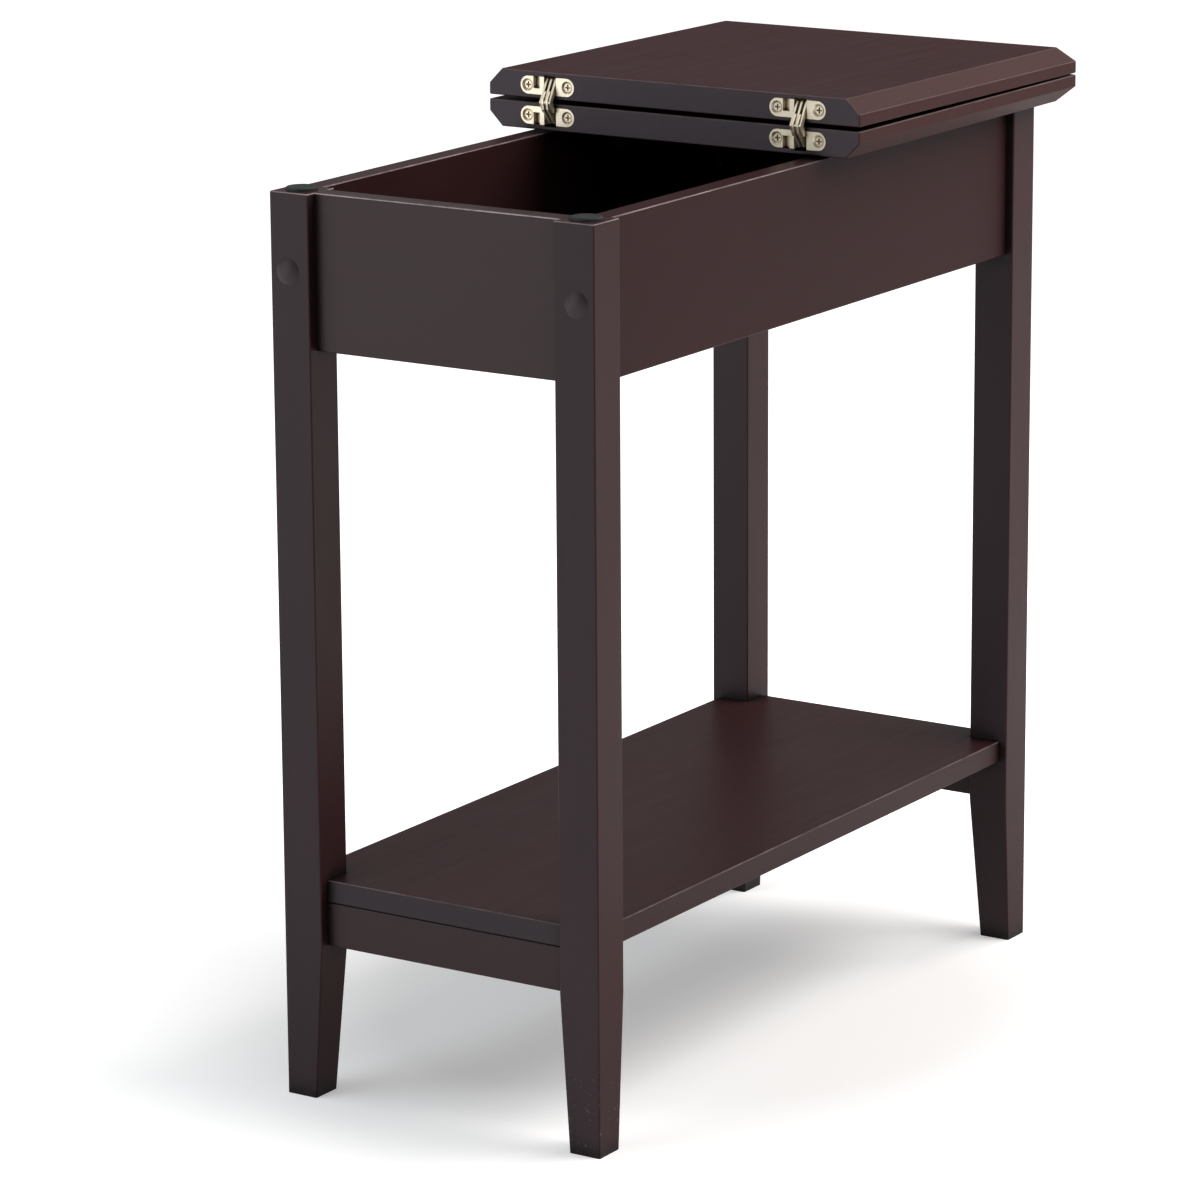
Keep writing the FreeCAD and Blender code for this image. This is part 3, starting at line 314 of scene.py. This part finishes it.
def birch():
    """Plain birch, with its grain along the dowels."""
    shader = Shader("dowel_birch")
    grain = shader.noise(300, (GRAIN_STRETCH, 1, 1), GRAIN_DETAIL, GRAIN_ROUGHNESS)
    shader.set(Base_Color=shader.mix(shader.ramp(grain, *NOISE_MIDDLE), BIRCH_DARK, BIRCH_LIGHT),
               Roughness=shader.ramp(grain, *NOISE_SPAN, 0.6, 0.75))
    shader.bump(grain, strength=0.15, distance=0.0003)
    return shader.material


leg_paint = espresso("espresso_leg", Z, gloss=0.10, depth=1.08, line=1.0, end=LEG_END_PAINTED_LIGHT, scuffs=0.15)
# Painted shade by piece: the boards that face the front and back take a darker copy of the paint
# (depth 0.66)
front_back_paint_shaded = espresso("espresso_end_shaded", X, gloss=0.20, depth=0.66, line=1.25)
side_paint = espresso("espresso_side", Y, gloss=0.05, depth=0.93, line=0.7)
# The rails take the darker copy too, and painted shade on their upper edges, where the shelf sits
# on them
rail_paint_shaded = espresso("espresso_rail_shaded", X, gloss=0.20, depth=0.66, line=2.0, upper_edge_tone=PAINTED_CORNER_SHADE)
shelf_paint = espresso("espresso_shelf", Y, gloss=0.10, depth=0.90, line=0.3, end=SHELF_END_PAINTED_LIGHT,
                       joint=True)
inside_paint = espresso("espresso_inside", Y, gloss=0.05, depth=1.0, line=0.0)
top_paint = espresso("espresso_top", Y, gloss=0.03, depth=1.06, line=0.25, end=TOP_END_PAINTED_LIGHT, reach=0.05,
                     side=TOP_SIDE_PAINTED_LIGHT, roughness=0.49)
gilt = metal("hinge_gilt", GILT, GILT_DULL, GILT_PAINTED_SHADE, roughness=0.44, brushed=(1, 0.08, 1))
# Zinc's dull tone also serves as its painted shade in slots and recesses
zinc = metal("zinc_plate", ZINC, ZINC_DULL, ZINC_DULL, roughness=0.34, brushed=(1, 1, 1))
pad_rubber, bolt_cap, dowel_wood = rubber(), cap_plastic(), birch()

# The first start that a node's name has gives its finish
FINISHES = (
    ("leg_bolts", zinc), ("cross_nuts", zinc), ("shelf_screws", zinc), ("cleat_screws", zinc),
    ("top_screws", zinc), ("apron_dowels", dowel_wood), ("rail_dowels", dowel_wood),
    ("hinge_", gilt), ("top_pad_", pad_rubber), ("bolt_cap_", bolt_cap), ("leg_", leg_paint),
    ("apron_front", front_back_paint_shaded), ("apron_back", front_back_paint_shaded), ("shelf_rail_", rail_paint_shaded),
    ("apron_", side_paint), ("shelf_board", shelf_paint), ("storage_floor", inside_paint),
    ("top_cleat_", inside_paint), ("fixed_top", top_paint), ("flip_top", top_paint),
)
for name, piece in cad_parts.items():
    finish = next(material for start, material in FINISHES if name.startswith(start))
    piece.data.materials.clear()
    piece.data.materials.append(finish)


# Camera, at the photograph's angle
LENS_MM, SENSOR_MM = 159.67, 36.0
CLIP_START, CLIP_END = 0.05, 100
AZIMUTH, ELEVATION, ROLL = (math.radians(angle) for angle in (32.988, 13.977, -0.364))
AIM = Vector((0, -0.0085, 0.300))
ACROSS, RISE, DISTANCE = 0.046619, 0.014161, 3.532735


def place_camera():
    """Looks towards the aim from the photograph's side, a little across from it and below."""
    away = Vector((-math.sin(AZIMUTH) * math.cos(ELEVATION),
                   math.cos(AZIMUTH) * math.cos(ELEVATION), -math.sin(ELEVATION)))
    level = Vector((math.cos(AZIMUTH), math.sin(AZIMUTH), 0))
    upright = level.cross(away)
    right = math.cos(ROLL) * level + math.sin(ROLL) * upright
    up = right.cross(away)
    data = bpy.data.cameras.new("camera")
    data.sensor_width, data.lens = SENSOR_MM, LENS_MM
    data.clip_start, data.clip_end = CLIP_START, CLIP_END
    camera = bpy.data.objects.new("camera", data)
    turn = Matrix((right, up, -away)).transposed().to_4x4()
    spot = AIM - ACROSS * right - RISE * up - DISTANCE * away
    camera.matrix_world = Matrix.Translation(spot) @ turn
    bpy.context.collection.objects.link(camera)
    bpy.context.scene.camera = camera


FLOOR_REACH = 20.0
FLOOR_COLOUR = (0.80, 0.80, 0.80, 1)
FLOOR_ROUGHNESS = 0.9
# The floor's own light on the rays that show it: from and to a distance, and its level there
FLOOR_LIFT = (0.20, 0.62, 0.25, 0.85)
WORLD_LEVEL = 0.22
# How far up a ray looks where the white backdrop starts and where it is full
BACKDROP_TOP = (0.15, 0.115)


def make_floor():
    """A pale floor that keeps the object's shadow and runs to white away from the object."""
    mesh = bpy.data.meshes.new("floor")
    signs = ((-1, -1), (1, -1), (1, 1), (-1, 1))
    corners = [(x * FLOOR_REACH, y * FLOOR_REACH, 0) for x, y in signs]
    mesh.from_pydata(corners, [], [(0, 1, 2, 3)])
    floor = bpy.data.objects.new("floor", mesh)
    bpy.context.collection.objects.link(floor)
    shader = Shader("floor_paper")
    shader.set(Base_Color=FLOOR_COLOUR, Roughness=FLOOR_ROUGHNESS, Specular_IOR_Level=0.0,
               Emission_Color=WHITE)
    away = shader.add("VectorMath", {0: shader.place}, operation="LENGTH").outputs["Value"]
    lift = shader.math("MULTIPLY", shader.backdrop_ray(), shader.ramp(away, *FLOOR_LIFT))
    shader.set(Emission_Strength=lift)
    mesh.materials.append(shader.material)


def make_world():
    """Even light, with a white backdrop near the floor on the rays that show it."""
    world = bpy.data.worlds.new("studio")
    world.use_nodes = True
    nodes = Nodes(world.node_tree)
    background = nodes.tree.nodes["Background"]
    background.inputs["Color"].default_value = WHITE
    rise = nodes.part(nodes.add("TexCoord").outputs["Generated"], Z)
    shown = nodes.math("MULTIPLY", nodes.backdrop_ray(), nodes.ramp(rise, *BACKDROP_TOP))
    nodes.feed(background.inputs["Strength"], nodes.ramp(shown, 0.0, 1.0, WORLD_LEVEL, 1.0))
    bpy.context.scene.world = world


# A lamp's power at one metre for plain light, at which a colour renders about as it is written
PLAIN_LEVEL = math.pi ** 2
# Name, way from the table's middle, distance, width and height, level and colour
LAMPS = (
    ("key", (0.60, 0.28, 0.75), 3.0, (2.0, 2.0), 0.80, (1.0, 0.96, 0.93)),
    ("front_left", (-0.52, -0.82, 0.28), 3.0, (2.4, 3.2), 0.50, (0.88, 0.95, 1.0)),
    ("upper_left", (-0.50, -0.25, 0.83), 2.5, (1.0, 1.0), 0.12, (1.0, 1.0, 1.0)),
    ("upper_back", (0.30, 0.75, 0.60), 2.5, (1.0, 1.0), 0.28, (1.0, 0.95, 0.92)),
)


def make_lamp(name, way, distance, sizes, level, colour):
    """A soft lamp that gives its level of plain light at the table's middle."""
    data = bpy.data.lights.new(name, "AREA")
    data.shape = "ELLIPSE"
    data.size, data.size_y = sizes
    data.energy = PLAIN_LEVEL * distance ** 2 * level
    data.color = colour
    lamp = bpy.data.objects.new(name, data)
    way = Vector(way).normalized()
    lamp.location = AIM + way * distance
    lamp.rotation_euler = way.to_track_quat("Z", "Y").to_euler()
    bpy.context.collection.objects.link(lamp)


place_camera()
make_floor()
make_world()
for lamp in LAMPS:
    make_lamp(*lamp)
bpy.context.scene.view_settings.view_transform = "Standard"
